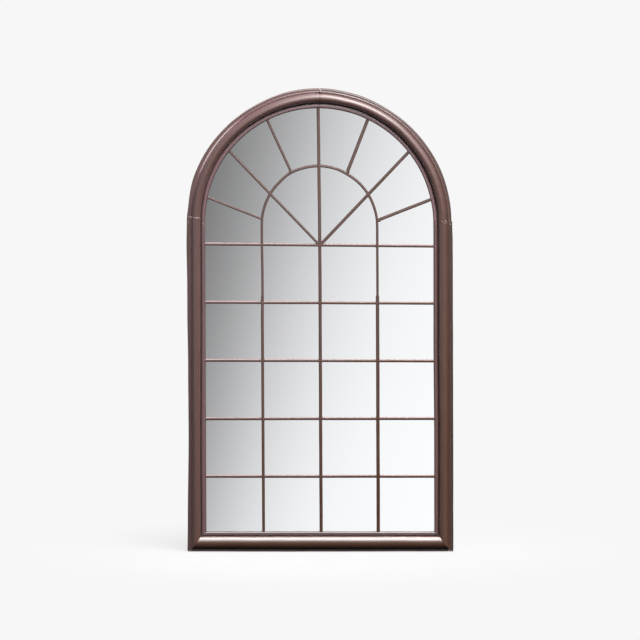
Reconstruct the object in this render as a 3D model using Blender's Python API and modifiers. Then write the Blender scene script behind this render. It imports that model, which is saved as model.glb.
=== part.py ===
"""Arched garden mirror: rolled steel frame, welded glazing bars, mirror glass and riveted back.

Lengths are in metres. The mirror stands in the XZ plane with its front towards -Y, and the
origin is the middle of its base. Sections are drawn in two distances: u runs inwards from the
frame's outer edge, and v runs forwards from the back plane, which lies against the wall.
"""

import math

import bmesh
import bpy
from mathutils import Matrix, Vector

# Overall size
FRAME_WIDTH = 0.750
FRAME_HEIGHT = 1.310

# Clearances
GAP = 0.0003  # between two pieces that touch
EDGE_PLAY = 0.001  # beside the glass and the board, inside the rebate
OVERRUN = 0.001  # how far a cut runs past what it cuts

# Rolled sheet moulding of the frame
SHEET = 0.0012
OUTER_LIP_WIDTH = 0.009
BEAD_WIDTH = 0.031
BEAD_SIDE = 0.0045  # straight side of the bead, below its round top
VALLEY_WIDTH = 0.0015  # floor of the groove on either side of the bead
INNER_LIP_WIDTH = 0.011
LIP_ROUND = 0.0025
OUTER_LIP_RISE = 0.0015  # outer lip above the valley floor
INNER_LIP_RISE = 0.006  # inner lip above the valley floor
VALLEY_RISE = 0.003  # valley floor in front of the glass stop
RETURN_FLANGE = 0.010
STOP_WIDTH = 0.007
FLANGE_WIDTH = 0.013

# Glass and backing board
GLASS_THICKNESS = 0.004
BOARD_THICKNESS = 0.003

# Glazing bars
BAR_DEPTH = 0.0085
BAR_CROWN = 0.003  # height of the rounded front
UPRIGHT_WIDTH = 0.008
RAIL_WIDTH = 0.007
FAN_WIDTH = 0.0074  # hoop, diagonals and short spokes
ROW_PITCH = 0.164
HOOP_RADIUS = 0.163
HUB_DROP = 0.065  # first rail and hub below the springing line
HOOP_DROP = 0.006  # centre of the hoop below the springing line
SPLICE_RISE = 0.018  # foot of the hoop above the second rail

# Turn buttons, which hold the board in
BUTTON_THICKNESS = 0.0015
BUTTON_WIDTH = 0.012
BUTTON_REACH = 0.024
BUTTON_HEIGHT_SHARES = {"lower": 0.2, "upper": 0.6}  # of the height of the springing line
BUTTON_BASE_OFFSET = 0.180
BUTTON_ARCH_ANGLE = 50.0

# Rivets
RIVET_RADIUS = 0.002
RIVET_HEAD_RADIUS = 0.0036
RIVET_HEAD_HEIGHT = 0.0012
RIVET_TAIL_RADIUS = 0.003
RIVET_TAIL_HEIGHT = 0.0012
DOME_SHARES = ((0, 1), (0.5, 0.86), (0.85, 0.48))

# Strap hangers with their swinging rings
HANGER_DROP = 0.135  # rings' hinge axis below the springing line
STRAP_THICKNESS = 0.001
STRAP_WIDTH = 0.012
STRAP_TAIL = 0.006  # strap below its lower rivet
UPPER_RIVET_DROP = 0.0075
LOWER_RIVET_DROP = 0.0245
RING_WIRE_RADIUS = 0.0016
RING_PLAY = 0.00035
RING_SIDE_PLAY = 0.001
RING_ARM = 0.006
RING_CORNER = 0.0025
WALL_CLEARANCE = 0.0002  # between the strap's eye and the wall
EYE_TURN = 285.0

# Facets
ROUND_STEPS = 3
BEAD_STEPS = 10
ARCH_STEPS = 20
HOOP_STEPS = 36
CROWN_STEPS = 6
PLATE_STEPS = 48
END_STEPS = 8
CORNER_STEPS = 3
EYE_STEPS = 14
RIVET_STEPS = 12
HOLE_STEPS = 16

# Places that follow, forwards from the back plane
EYE_RADIUS = RING_WIRE_RADIUS + RING_PLAY
RING_V = WALL_CLEARANCE + STRAP_THICKNESS + EYE_RADIUS
FLANGE_V = RING_V + EYE_RADIUS + STRAP_THICKNESS + GAP
BOARD_V = FLANGE_V
GLASS_V = BOARD_V + BOARD_THICKNESS + GAP
STOP_V = GLASS_V + GLASS_THICKNESS + GAP
VALLEY_V = STOP_V + VALLEY_RISE
BEAD_V = VALLEY_V + BEAD_SIDE
FRAME_DEPTH = BEAD_V + BEAD_WIDTH / 2
BACK_Y = FRAME_DEPTH / 2

# Places that follow, inwards from the outer edge
LIP_FOOT_U = OUTER_LIP_WIDTH + BEAD_WIDTH + VALLEY_WIDTH
FACE_WIDTH = LIP_FOOT_U + INNER_LIP_WIDTH
REBATE_U = FACE_WIDTH - STOP_WIDTH
FLANGE_U = REBATE_U - FLANGE_WIDTH / 2

# Places that follow, across and up
HALF_WIDTH = FRAME_WIDTH / 2
SPRINGING = FRAME_HEIGHT - HALF_WIDTH
HUB = SPRINGING - HUB_DROP
HOOP_CENTRE = SPRINGING - HOOP_DROP
RAIL_COUNT = int((HUB - FACE_WIDTH) / ROW_PITCH + 0.5)
RAIL_HEIGHTS = [HUB - ROW_PITCH * row for row in range(RAIL_COUNT)]
SPLICE = HUB - ROW_PITCH + SPLICE_RISE
HANGER_HEIGHT = SPRINGING - HANGER_DROP
BUTTON_HEIGHTS = {level: SPRINGING * share for level, share in BUTTON_HEIGHT_SHARES.items()}
LAP_V = STOP_V + BAR_DEPTH / 2
BUTTON_V = FLANGE_V - GAP - BUTTON_THICKNESS
STRAP_V = FLANGE_V - GAP - STRAP_THICKNESS

parts = bpy.data.collections.new("Garden mirror")
cutters = bpy.data.collections.new("Cutters")


def clear_scene():
    for obj in list(bpy.data.objects):
        bpy.data.objects.remove(obj, do_unlink=True)
    for collection in (parts, cutters):
        bpy.context.scene.collection.children.link(collection)


def material(name, colour, roughness, metallic):
    made = bpy.data.materials.new(name)
    made.use_nodes = True
    shader = made.node_tree.nodes["Principled BSDF"]
    shader.inputs["Base Color"].default_value = (*colour, 1)
    shader.inputs["Roughness"].default_value = roughness
    shader.inputs["Metallic"].default_value = metallic
    return made


def place(x, v, z):
    return Vector((x, BACK_Y - v, z))


def arc(centre, radius, start, end, steps):
    """Points from one angle to another, in degrees, both ends included."""
    angles = [math.radians(start + (end - start) * step / steps) for step in range(steps + 1)]
    return [(centre[0] + radius * math.cos(a), centre[1] + radius * math.sin(a)) for a in angles]


def sheet_loop(path, thickness):
    """The section of a folded sheet: the path, and its copy one thickness to its right."""
    points = [Vector(point) for point in path]
    runs = [(after - before).normalized() for before, after in zip(points, points[1:])]
    sides = [Vector((run.y, -run.x)) for run in runs]
    inner = []
    for point, before, after in zip(points, [sides[0]] + sides, sides + [sides[-1]]):
        middle = (before + after).normalized()
        inner.append(point + middle * thickness / middle.dot(after))
    return points + inner[::-1]


def finish(name, bm, paint):
    """Turns a bmesh into a named part with its faces facing out."""
    bmesh.ops.recalc_face_normals(bm, faces=bm.faces)
    mesh = bpy.data.meshes.new(name)
    bm.to_mesh(mesh)
    bm.free()
    mesh.shade_smooth()
    mesh.set_sharp_from_angle(angle=math.radians(35))
    mesh.materials.append(paint)
    obj = bpy.data.objects.new(name, mesh)
    parts.objects.link(obj)
    return obj


def prism(name, start, end, paint):
    """A flat section at start, drawn out to the matching points at end."""
    bm = bmesh.new()
    face = bm.faces.new([bm.verts.new(point) for point in start])
    drawn = bmesh.ops.extrude_face_region(bm, geom=[face])["geom"]
    (far,) = [item for item in drawn if isinstance(item, bmesh.types.BMFace)]
    for vert, point in zip(far.verts, end):
        vert.co = point
    return finish(name, bm, paint)


def spun(name, section, centre_z, angle, steps, paint):
    """A flat section swung round a level axis that runs from front to back."""
    bm = bmesh.new()
    face = bm.faces.new([bm.verts.new(point) for point in section])
    bmesh.ops.spin(
        bm,
        geom=[face],
        cent=(0, 0, centre_z),
        axis=(0, 1, 0),
        angle=math.radians(angle),
        steps=steps,
    )
    return finish(name, bm, paint)


def cut(obj, name, bm):
    """Takes the shapes in bm out of obj."""
    bmesh.ops.recalc_face_normals(bm, faces=bm.faces)
    mesh = bpy.data.meshes.new(name)
    bm.to_mesh(mesh)
    bm.free()
    cutter = bpy.data.objects.new(name, mesh)
    cutter.hide_render = True
    cutter.display_type = "WIRE"
    cutters.objects.link(cutter)
    modifier = obj.modifiers.new(name, "BOOLEAN")
    modifier.operation = "DIFFERENCE"
    modifier.use_self = True
    modifier.object = cutter


def drill(bm, x, z, low_v, high_v):
    """Adds the round hole that a rivet passes through."""
    depth = high_v - low_v
    middle = place(x, (low_v + high_v) / 2, z)
    bmesh.ops.create_cone(
        bm,
        cap_ends=True,
        segments=HOLE_STEPS,
        radius1=RIVET_RADIUS + GAP,
        radius2=RIVET_RADIUS + GAP,
        depth=depth,
        matrix=Matrix.Translation(middle) @ Matrix.Rotation(math.radians(90), 4, "X"),
    )


def moulding_path():
    """The visible outside of the moulding, from the wall round the front to the fixing flange."""
    bead_centre = (OUTER_LIP_WIDTH + BEAD_WIDTH / 2, BEAD_V)
    groove_u = OUTER_LIP_WIDTH - VALLEY_WIDTH
    lip_v = VALLEY_V + OUTER_LIP_RISE
    inner_v = VALLEY_V + INNER_LIP_RISE - LIP_ROUND
    path = [(RETURN_FLANGE, 0), (0, 0)]
    path += arc((LIP_ROUND, lip_v - LIP_ROUND), LIP_ROUND, 180, 90, ROUND_STEPS)
    path += arc((groove_u - OUTER_LIP_RISE, VALLEY_V), OUTER_LIP_RISE, 90, 0, ROUND_STEPS)
    path += [(OUTER_LIP_WIDTH, VALLEY_V)]
    path += arc(bead_centre, BEAD_WIDTH / 2, 180, 0, BEAD_STEPS)
    path += [(LIP_FOOT_U - VALLEY_WIDTH, VALLEY_V), (LIP_FOOT_U, VALLEY_V)]
    path += arc((LIP_FOOT_U + LIP_ROUND, inner_v), LIP_ROUND, 180, 90, ROUND_STEPS)
    path += arc((FACE_WIDTH - LIP_ROUND, inner_v), LIP_ROUND, 90, 0, ROUND_STEPS)
    path += [(FACE_WIDTH, STOP_V), (REBATE_U, STOP_V)]
    path += [(REBATE_U, FLANGE_V), (REBATE_U - FLANGE_WIDTH, FLANGE_V)]
    return path


def flange_holes(obj, places):
    """Drills the fixing flange of a moulding at each (x, z)."""
    bm = bmesh.new()
    for x, z in places:
        drill(bm, x, z, FLANGE_V - OVERRUN, FLANGE_V + SHEET + OVERRUN)
    cut(obj, obj.name + "_holes", bm)


def stile(side, section, paint):
    """An upright of the frame, mitred at its foot. side is -1 on the left and 1 on the right."""
    mitre = GAP / math.sqrt(2)
    foot = [place(side * (HALF_WIDTH - u), v, u + mitre) for u, v in section]
    top = [place(side * (HALF_WIDTH - u), v, SPRINGING - GAP / 2) for u, v in section]
    obj = prism(SIDES[side] + "_stile", foot, top, paint)
    x = side * (HALF_WIDTH - FLANGE_U)
    heights = list(BUTTON_HEIGHTS.values())
    heights += [HANGER_HEIGHT - UPPER_RIVET_DROP, HANGER_HEIGHT - LOWER_RIVET_DROP]
    flange_holes(obj, [(x, z) for z in heights])


def bottom_rail(section, paint):
    mitre = GAP / math.sqrt(2)
    left = [place(mitre + u - HALF_WIDTH, v, u) for u, v in section]
    right = [place(HALF_WIDTH - u - mitre, v, u) for u, v in section]
    obj = prism("bottom_rail", left, right, paint)
    flange_holes(obj, [(side * BUTTON_BASE_OFFSET, FLANGE_U) for side in SIDES])


def arch_point(radius, degrees):
    angle = math.radians(degrees)
    return radius * math.cos(angle), SPRINGING + radius * math.sin(angle)


def arch_quarter(side, section, paint):
    """Half of the arch, from the springing line to the butt joint at the crown."""
    seam = math.degrees(GAP / 2 / (HALF_WIDTH - FACE_WIDTH))
    start = 180 - seam if side < 0 else 90 - seam
    ring = []
    for u, v in section:
        x, z = arch_point(HALF_WIDTH - u, start)
        ring.append(place(x, v, z))
    name = "arch_" + SIDES[side]
    obj = spun(name, ring, SPRINGING, 90 - 2 * seam, ARCH_STEPS, paint)
    flange_holes(obj, [arch_point(HALF_WIDTH - FLANGE_U, button_angle(side))])


def button_angle(side):
    return BUTTON_ARCH_ANGLE if side > 0 else 180 - BUTTON_ARCH_ANGLE


def outline_plate(name, outlines, thickness, paint):
    """A flat plate from closed outlines in its own XY plane, later ones being holes."""
    curve = bpy.data.curves.new(name, "CURVE")
    curve.dimensions = "2D"
    curve.fill_mode = "BOTH"
    curve.extrude = thickness / 2
    for outline in outlines:
        spline = curve.splines.new("POLY")
        spline.points.add(len(outline) - 1)
        for point, (x, y) in zip(spline.points, outline):
            point.co = (x, y, 0, 1)
        spline.use_cyclic_u = True
    curve.materials.append(paint)
    obj = bpy.data.objects.new(name, curve)
    parts.objects.link(obj)
    return obj


def face_front(obj, location, degrees=0):
    """Stands a flat plate up, facing the front, with its own X axis turned by some degrees."""
    upright = Matrix.Rotation(math.radians(90), 4, "X")
    turned = Matrix.Rotation(math.radians(-degrees), 4, "Y")
    obj.matrix_world = Matrix.Translation(location) @ turned @ upright


def arched_sheet(name, low_v, thickness, paint):
    """The glass or the board: a rectangle with a half round top, inside the rebate."""
    radius = HALF_WIDTH - REBATE_U - EDGE_PLAY
    base = REBATE_U + GAP
    outline = [(-radius, base), (radius, base)]
    outline += arc((0, SPRINGING), radius, 0, 180, PLATE_STEPS)
    obj = outline_plate(name, [outline], thickness, paint)
    face_front(obj, place(0, low_v + thickness / 2, 0))


def bar_section(width):
    """A bar with a flat back and a crowned front, as (sideways, v)."""
    half = width / 2
    shoulder = STOP_V + BAR_DEPTH - BAR_CROWN
    section = [(-half, STOP_V), (half, STOP_V)]
    for step in range(CROWN_STEPS + 1):
        angle = math.pi * step / CROWN_STEPS
        section.append((half * math.cos(angle), shoulder + BAR_CROWN * math.sin(angle)))
    return section


def straight_bar(name, start, end, width, paint, slants=(0, 0)):
    """A bar from start to end, both (x, z). A slant shifts an end face per unit of width."""
    start, end = Vector(start), Vector(end)
    along = (end - start).normalized()
    across = Vector((-along.y, along.x))
    rings = []
    for foot, slant in zip((start, end), slants):
        ring = []
        for sideways, v in bar_section(width):
            x, z = foot + across * sideways + along * slant * sideways
            ring.append(place(x, v, z))
        rings.append(ring)
    return prism(name, rings[0], rings[1], paint)


def add_notch(bm, centre, degrees, along, across, low_v, high_v):
    """Adds a box at centre, an (x, z), whose length lies at some degrees from level."""
    middle = place(centre[0], (low_v + high_v) / 2, centre[1])
    turned = Matrix.Rotation(math.radians(-degrees), 4, "Y")
    scale = Matrix.Diagonal((along, high_v - low_v, across, 1))
    bmesh.ops.create_cube(bm, size=1, matrix=Matrix.Translation(middle) @ turned @ scale)


def lap(bm, centre, own_width, other_degrees, other_width, other_in_front):
    """Adds the notch of a cross-halved joint, which the other bar passes through."""
    if other_in_front:
        low_v, high_v = LAP_V - GAP / 2, STOP_V + BAR_DEPTH + OVERRUN
    else:
        low_v, high_v = STOP_V - OVERRUN, LAP_V + GAP / 2
    along = 2 * own_width
    add_notch(bm, centre, other_degrees, along, other_width + 2 * GAP, low_v, high_v)


def ray_to_circle(degrees, centre_z, radius):
    """How far a ray from the hub runs before it meets a circle on the middle line."""
    drop = HUB - centre_z
    rise = drop * math.sin(math.radians(degrees))
    return math.sqrt(rise * rise + radius * radius - drop * drop) - rise


def ray_point(degrees, distance):
    angle = math.radians(degrees)
    return distance * math.cos(angle), HUB + distance * math.sin(angle)


def ray_slant(degrees, distance, centre_z):
    """The slant that lays a ray's end face along the circle it meets."""
    x, z = ray_point(degrees, distance)
    normal = math.atan2(z - centre_z, x)
    return math.tan(normal - math.radians(degrees)) * -1


def frame_inside():
    """Radius that clears the flats of the arch's inner wall."""
    return (HALF_WIDTH - FACE_WIDTH) * math.cos(math.pi / 4 / ARCH_STEPS) - GAP


def centre_bar(paint):
    top = SPRINGING + frame_inside()
    bar = straight_bar("centre_bar", (0, FACE_WIDTH + GAP), (0, top), UPRIGHT_WIDTH, paint)
    bm = bmesh.new()
    for height in RAIL_HEIGHTS:
        lap(bm, (0, height), UPRIGHT_WIDTH, 0, RAIL_WIDTH, False)
    lap(bm, (0, HOOP_CENTRE + HOOP_RADIUS), UPRIGHT_WIDTH, 0, FAN_WIDTH, False)
    cut(bar, "centre_bar_laps", bm)


def lower_bar(side, paint):
    """The upright below the foot of the hoop."""
    x = side * HOOP_RADIUS
    name = SIDES[side] + "_bar"
    bar = straight_bar(name, (x, FACE_WIDTH + GAP), (x, SPLICE - GAP / 2), FAN_WIDTH, paint)
    bm = bmesh.new()
    for height in RAIL_HEIGHTS[1:]:
        lap(bm, (x, height), FAN_WIDTH, 0, RAIL_WIDTH, False)
    cut(bar, name + "_laps", bm)


def rail(number, height, paint):
    half = HALF_WIDTH - FACE_WIDTH - GAP
    name = "rail_" + str(number)
    bar = straight_bar(name, (-half, height), (half, height), RAIL_WIDTH, paint)
    bm = bmesh.new()
    lap(bm, (0, height), RAIL_WIDTH, 90, UPRIGHT_WIDTH, True)
    for side in SIDES:
        lap(bm, (side * HOOP_RADIUS, height), RAIL_WIDTH, 90, FAN_WIDTH, True)
    cut(bar, name + "_laps", bm)


def hoop(paint):
    """The bent bar: two legs that run down to the splices, joined by a half circle."""
    section = bar_section(FAN_WIDTH)
    foot = SPLICE + GAP / 2
    bm = bmesh.new()
    ring = [place(sideways - HOOP_RADIUS, v, foot) for sideways, v in section]
    face = bm.faces.new([bm.verts.new(point) for point in ring])
    stations = [(180 * step / HOOP_STEPS, HOOP_CENTRE) for step in range(HOOP_STEPS + 1)]
    stations.append((180, foot))
    for number, (degrees, height) in enumerate(stations):
        last = face
        drawn = bmesh.ops.extrude_face_region(bm, geom=[last])["geom"]
        (face,) = [item for item in drawn if isinstance(item, bmesh.types.BMFace)]
        if number > 0:
            bm.faces.remove(last)
        angle = math.radians(180 - degrees)
        for vert, (sideways, v) in zip(face.verts, section):
            radius = HOOP_RADIUS - sideways
            vert.co = place(radius * math.cos(angle), v, height + radius * math.sin(angle))
    obj = finish("hoop", bm, paint)
    notches = bmesh.new()
    lap(notches, (0, HOOP_CENTRE + HOOP_RADIUS), FAN_WIDTH, 90, UPRIGHT_WIDTH, True)
    for side in SIDES:
        lap(notches, (side * HOOP_RADIUS, HUB), FAN_WIDTH, 0, RAIL_WIDTH, False)
    for degrees in DIAGONALS.values():
        crossing = ray_point(degrees, ray_to_circle(degrees, HOOP_CENTRE, HOOP_RADIUS))
        lap(notches, crossing, FAN_WIDTH, degrees, FAN_WIDTH, True)
    cut(obj, "hoop_laps", notches)


def diagonal(name, degrees, paint):
    """A spoke from the hub to the arch, lapped over the hoop."""
    outer = ray_to_circle(degrees, SPRINGING, frame_inside())
    slants = (0, ray_slant(degrees, outer, SPRINGING))
    start, end = ray_point(degrees, 0), ray_point(degrees, outer)
    bar = straight_bar(name, start, end, FAN_WIDTH, paint, slants)
    bm = bmesh.new()
    distance = ray_to_circle(degrees, HOOP_CENTRE, HOOP_RADIUS)
    x, z = ray_point(degrees, distance)
    tangent = math.degrees(math.atan2(z - HOOP_CENTRE, x)) + 90
    lap(bm, (x, z), FAN_WIDTH, tangent, FAN_WIDTH, False)
    low_v, high_v = STOP_V - OVERRUN, STOP_V + BAR_DEPTH + OVERRUN
    reach = 4 * FAN_WIDTH
    add_notch(bm, (0, HUB), 0, reach, RAIL_WIDTH + 2 * GAP, low_v, high_v)
    add_notch(bm, (0, HUB), 90, reach, UPRIGHT_WIDTH + 2 * GAP, low_v, high_v)
    cut(bar, name + "_laps", bm)


def short_spoke(name, degrees, paint):
    """A spoke between the hoop and the arch, aimed at the hub."""
    inner = ray_to_circle(degrees, HOOP_CENTRE, HOOP_RADIUS + FAN_WIDTH / 2 + GAP)
    outer = ray_to_circle(degrees, SPRINGING, frame_inside())
    slants = (ray_slant(degrees, inner, HOOP_CENTRE), ray_slant(degrees, outer, SPRINGING))
    start, end = ray_point(degrees, inner), ray_point(degrees, outer)
    straight_bar(name, start, end, FAN_WIDTH, paint, slants)


def rivet(name, x, z, head_v, paint):
    """A dome-headed rivet, its head resting at head_v and its tail inside the moulding."""
    grip = FLANGE_V + SHEET + GAP - head_v
    outline = [(RIVET_HEAD_RADIUS * r, RIVET_HEAD_HEIGHT * h) for r, h in DOME_SHARES]
    outline += [(RIVET_HEAD_RADIUS, 0), (RIVET_RADIUS, 0), (RIVET_RADIUS, -grip)]
    outline += [(RIVET_TAIL_RADIUS, -grip), (RIVET_TAIL_RADIUS, -grip - RIVET_TAIL_HEIGHT)]
    outline += [(0, -grip - RIVET_TAIL_HEIGHT)]
    mesh = bpy.data.meshes.new(name)
    verts = [(r, 0, h) for r, h in outline]
    mesh.from_pydata(verts, [(i, i + 1) for i in range(len(verts) - 1)], [])
    mesh.materials.append(paint)
    obj = bpy.data.objects.new(name, mesh)
    parts.objects.link(obj)
    obj.location = place(x, head_v, z)
    obj.rotation_euler = (math.radians(-90), 0, 0)
    turn = obj.modifiers.new("Turned", "SCREW")
    turn.steps = turn.render_steps = RIVET_STEPS
    turn.use_merge_vertices = True
    turn.merge_threshold = GAP / 10
    turn.use_smooth_shade = True


def turn_button(name, x, z, degrees, plate_paint, rivet_paint):
    """A round-ended plate on its own rivet, pointing inwards over the board."""
    half = BUTTON_WIDTH / 2
    outline = arc((0, 0), half, 90, 270, END_STEPS)
    outline += arc((BUTTON_REACH - half, 0), half, -90, 90, END_STEPS)
    hole = arc((0, 0), RIVET_RADIUS + GAP, 0, 360 - 360 / HOLE_STEPS, HOLE_STEPS - 1)
    plate = outline_plate("turn_button_" + name, [outline, hole], BUTTON_THICKNESS, plate_paint)
    face_front(plate, place(x, BUTTON_V + BUTTON_THICKNESS / 2, z), degrees)
    rivet("button_rivet_" + name, x, z, BUTTON_V - GAP, rivet_paint)


def strap(side, paint):
    """A strip folded into an eye round the ring, and riveted to the stile below it."""
    x = side * (HALF_WIDTH - FLANGE_U)
    radius = EYE_RADIUS + STRAP_THICKNESS
    path = [(-LOWER_RIVET_DROP - STRAP_TAIL, RING_V + radius)]
    path += [(r, v) for v, r in arc((RING_V, 0), radius, 0, EYE_TURN, EYE_STEPS)]
    section = sheet_loop(path, STRAP_THICKNESS)
    start, end = x - STRAP_WIDTH / 2, x + STRAP_WIDTH / 2
    rings = [[place(at, v, HANGER_HEIGHT + r) for r, v in section] for at in (start, end)]
    obj = prism("hanger_strap_" + SIDES[side], rings[0], rings[1], paint)
    bm = bmesh.new()
    for drop in (UPPER_RIVET_DROP, LOWER_RIVET_DROP):
        z = HANGER_HEIGHT - drop
        drill(bm, x, z, STRAP_V - OVERRUN, STRAP_V + STRAP_THICKNESS + OVERRUN)
    cut(obj, obj.name + "_holes", bm)


def ring(side, paint):
    """The bent wire ring. Its straight bar lies on the hinge axis and its bow hangs down."""
    half = STRAP_WIDTH / 2 + RING_SIDE_PLAY + RING_WIRE_RADIUS
    corner = RING_CORNER
    path = arc((half - corner, -corner), corner, 90, 0, CORNER_STEPS)
    path += arc((0, -RING_ARM), half, 0, -180, 2 * END_STEPS)
    path += arc((corner - half, -corner), corner, 180, 90, CORNER_STEPS)
    name = "hanger_ring_" + SIDES[side]
    curve = bpy.data.curves.new(name, "CURVE")
    curve.dimensions = "3D"
    curve.bevel_depth = RING_WIRE_RADIUS
    curve.bevel_resolution = 2
    spline = curve.splines.new("POLY")
    spline.points.add(len(path) - 1)
    for point, (across, up) in zip(spline.points, path):
        point.co = (across, 0, up, 1)
    spline.use_cyclic_u = True
    curve.materials.append(paint)
    obj = bpy.data.objects.new(name, curve)
    parts.objects.link(obj)
    obj.location = place(side * (HALF_WIDTH - FLANGE_U), RING_V, HANGER_HEIGHT)


SIDES = {-1: "left", 1: "right"}
DIAGONALS = {"diagonal_left": 135.0, "diagonal_right": 45.0}
SHORT_SPOKES = {
    "spoke_left_lower": 157.5,
    "spoke_left_upper": 112.5,
    "spoke_right_upper": 67.5,
    "spoke_right_lower": 22.5,
}


def build_frame(paint):
    section = sheet_loop(moulding_path(), SHEET)
    bottom_rail(section, paint)
    for side in SIDES:
        stile(side, section, paint)
        arch_quarter(side, section, paint)


def build_bars(paint):
    centre_bar(paint)
    hoop(paint)
    for side in SIDES:
        lower_bar(side, paint)
    for number, height in enumerate(RAIL_HEIGHTS, start=1):
        rail(number, height, paint)
    for name, degrees in DIAGONALS.items():
        diagonal(name, degrees, paint)
    for name, degrees in SHORT_SPOKES.items():
        short_spoke(name, degrees, paint)


def build_hardware(plate_paint, wire_paint, rivet_paint):
    for side, word in SIDES.items():
        x = side * (HALF_WIDTH - FLANGE_U)
        inwards = 180 if side > 0 else 0
        for level, height in BUTTON_HEIGHTS.items():
            name = word + "_" + level
            turn_button(name, x, height, inwards, plate_paint, rivet_paint)
        base_x = side * BUTTON_BASE_OFFSET
        turn_button("base_" + word, base_x, FLANGE_U, 90, plate_paint, rivet_paint)
        angle = button_angle(side)
        arch_x, arch_z = arch_point(HALF_WIDTH - FLANGE_U, angle)
        turn_button("arch_" + word, arch_x, arch_z, angle + 180, plate_paint, rivet_paint)
        strap(side, plate_paint)
        ring(side, wire_paint)
        for level, drop in (("upper", UPPER_RIVET_DROP), ("lower", LOWER_RIVET_DROP)):
            name = "hanger_rivet_" + word + "_" + level
            rivet(name, x, HANGER_HEIGHT - drop, STRAP_V - GAP, rivet_paint)


def main():
    clear_scene()
    paint = material("Bronze paint", (0.100, 0.058, 0.048), 0.35, 0.0)
    silver = material("Mirror silver", (0.860, 0.870, 0.870), 0.02, 1.0)
    hardboard = material("Dark hardboard", (0.060, 0.045, 0.035), 0.80, 0.0)
    plated = material("Plated steel", (0.480, 0.460, 0.420), 0.40, 1.0)
    wire = material("Ring wire", (0.520, 0.510, 0.480), 0.30, 1.0)
    rivets = material("Rivet metal", (0.600, 0.600, 0.610), 0.40, 1.0)
    build_frame(paint)
    build_bars(paint)
    arched_sheet("mirror_glass", GLASS_V, GLASS_THICKNESS, silver)
    arched_sheet("backing_board", BOARD_V, BOARD_THICKNESS, hardboard)
    build_hardware(plated, wire, rivets)


main()
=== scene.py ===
"""The looks of the arched garden mirror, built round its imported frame. Lengths are in metres.

Sections are drawn as in the frame's own design: u runs inwards from the outer edge, and v runs
forwards from the back plane that lies against the wall.
"""

import math
import random

import bmesh
import bpy
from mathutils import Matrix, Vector, noise

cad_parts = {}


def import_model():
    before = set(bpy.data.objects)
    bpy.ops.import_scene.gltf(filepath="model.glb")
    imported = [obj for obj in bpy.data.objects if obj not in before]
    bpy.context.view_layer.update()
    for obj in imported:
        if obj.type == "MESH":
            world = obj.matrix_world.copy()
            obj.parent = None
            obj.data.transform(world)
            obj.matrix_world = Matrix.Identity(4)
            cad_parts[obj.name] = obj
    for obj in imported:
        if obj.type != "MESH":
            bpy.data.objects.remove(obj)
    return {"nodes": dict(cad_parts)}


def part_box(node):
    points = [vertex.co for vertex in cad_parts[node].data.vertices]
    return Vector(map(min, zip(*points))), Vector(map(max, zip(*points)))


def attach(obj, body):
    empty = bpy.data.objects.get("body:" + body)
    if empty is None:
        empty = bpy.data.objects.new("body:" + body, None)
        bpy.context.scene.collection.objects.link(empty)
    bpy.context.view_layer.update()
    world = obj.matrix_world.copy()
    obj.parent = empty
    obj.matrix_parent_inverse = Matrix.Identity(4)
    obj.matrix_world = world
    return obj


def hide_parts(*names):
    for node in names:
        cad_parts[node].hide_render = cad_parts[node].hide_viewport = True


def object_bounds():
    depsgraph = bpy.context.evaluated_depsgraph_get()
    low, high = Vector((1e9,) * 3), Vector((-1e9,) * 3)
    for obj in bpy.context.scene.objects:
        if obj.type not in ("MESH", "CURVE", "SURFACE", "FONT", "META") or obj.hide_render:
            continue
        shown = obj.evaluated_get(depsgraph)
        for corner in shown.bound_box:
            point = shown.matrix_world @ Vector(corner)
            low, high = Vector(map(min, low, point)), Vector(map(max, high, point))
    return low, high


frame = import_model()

CAD_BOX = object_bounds()
LOW, HIGH = CAD_BOX

MILLIMETRE = 0.001

# How far the made mirror's arch and its bars sit above their drawn heights
ARCH_LIFT = 0.0014
RAIL_LIFT = 0.0022

# Places read from the frame
HALF_WIDTH = HIGH.x
SPRINGING = HIGH.z - HALF_WIDTH
BACK_Y = HIGH.y
FACE_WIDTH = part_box("left_stile")[1].x + HALF_WIDTH
STOP_V = BACK_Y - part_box("centre_bar")[1].y
BAR_FRONT = BACK_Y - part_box("centre_bar")[0].y
HOOP_LOW, HOOP_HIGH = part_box("hoop")
RAILS = ["rail_" + str(number) for number in range(1, 6)]
RAIL_HEIGHTS = {name: (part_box(name)[0].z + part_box(name)[1].z) / 2 for name in RAILS}
HUB = RAIL_HEIGHTS["rail_1"]

# Moulding of the frame
SHEET = 0.0012
OUTER_LIP_WIDTH = 0.0115
BEAD_WIDTH = 0.0285
VALLEY_WIDTH = 0.0015
EDGE_ROUND = 0.0020
FLAT_DROP = 0.0014
RIDGE_U = 0.0082
RIDGE_ROUND = 0.0024
RIDGE_END = 55
GROOVE_DROP = 0.0007
COVE_RADIUS = 0.0018
OUTER_LIP_RISE = 0.005
INNER_LIP_RISE = 0.006
INNER_LIP_PEAK = 0.0078
VALLEY_RISE = 0.003
RETURN_FLANGE = 0.010
STOP_WIDTH = 0.007
FLANGE_WIDTH = 0.013
FLANGE_V = BACK_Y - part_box("backing_board")[1].y
LIP_FOOT_U = OUTER_LIP_WIDTH + BEAD_WIDTH + VALLEY_WIDTH
SEAM_CHAMFER = 0.0004
SEAM_GAP = 0.00004
TOP_SEAM_GAP = 0.0017
MARK_SINK = 0.0003
FILLET = 0.0009
# Steps round each curve of the section, and along each length
EDGE_STEPS, RIDGE_STEPS, COVE_STEPS, BEAD_STEPS, LIP_STEPS = 6, 9, 8, 36, 20
STILE_STEPS, BOTTOM_RAIL_STEPS, ARCH_STEPS = 92, 76, 72
# A turn in the section sharper than this, in degrees, is rounded over a share of its two runs
SHARP_TURN, CUT_SHARE = 25, 0.45
# The least cosine that a mitre in the section is worked out with
MITRE_LIMIT = 0.5

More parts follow.
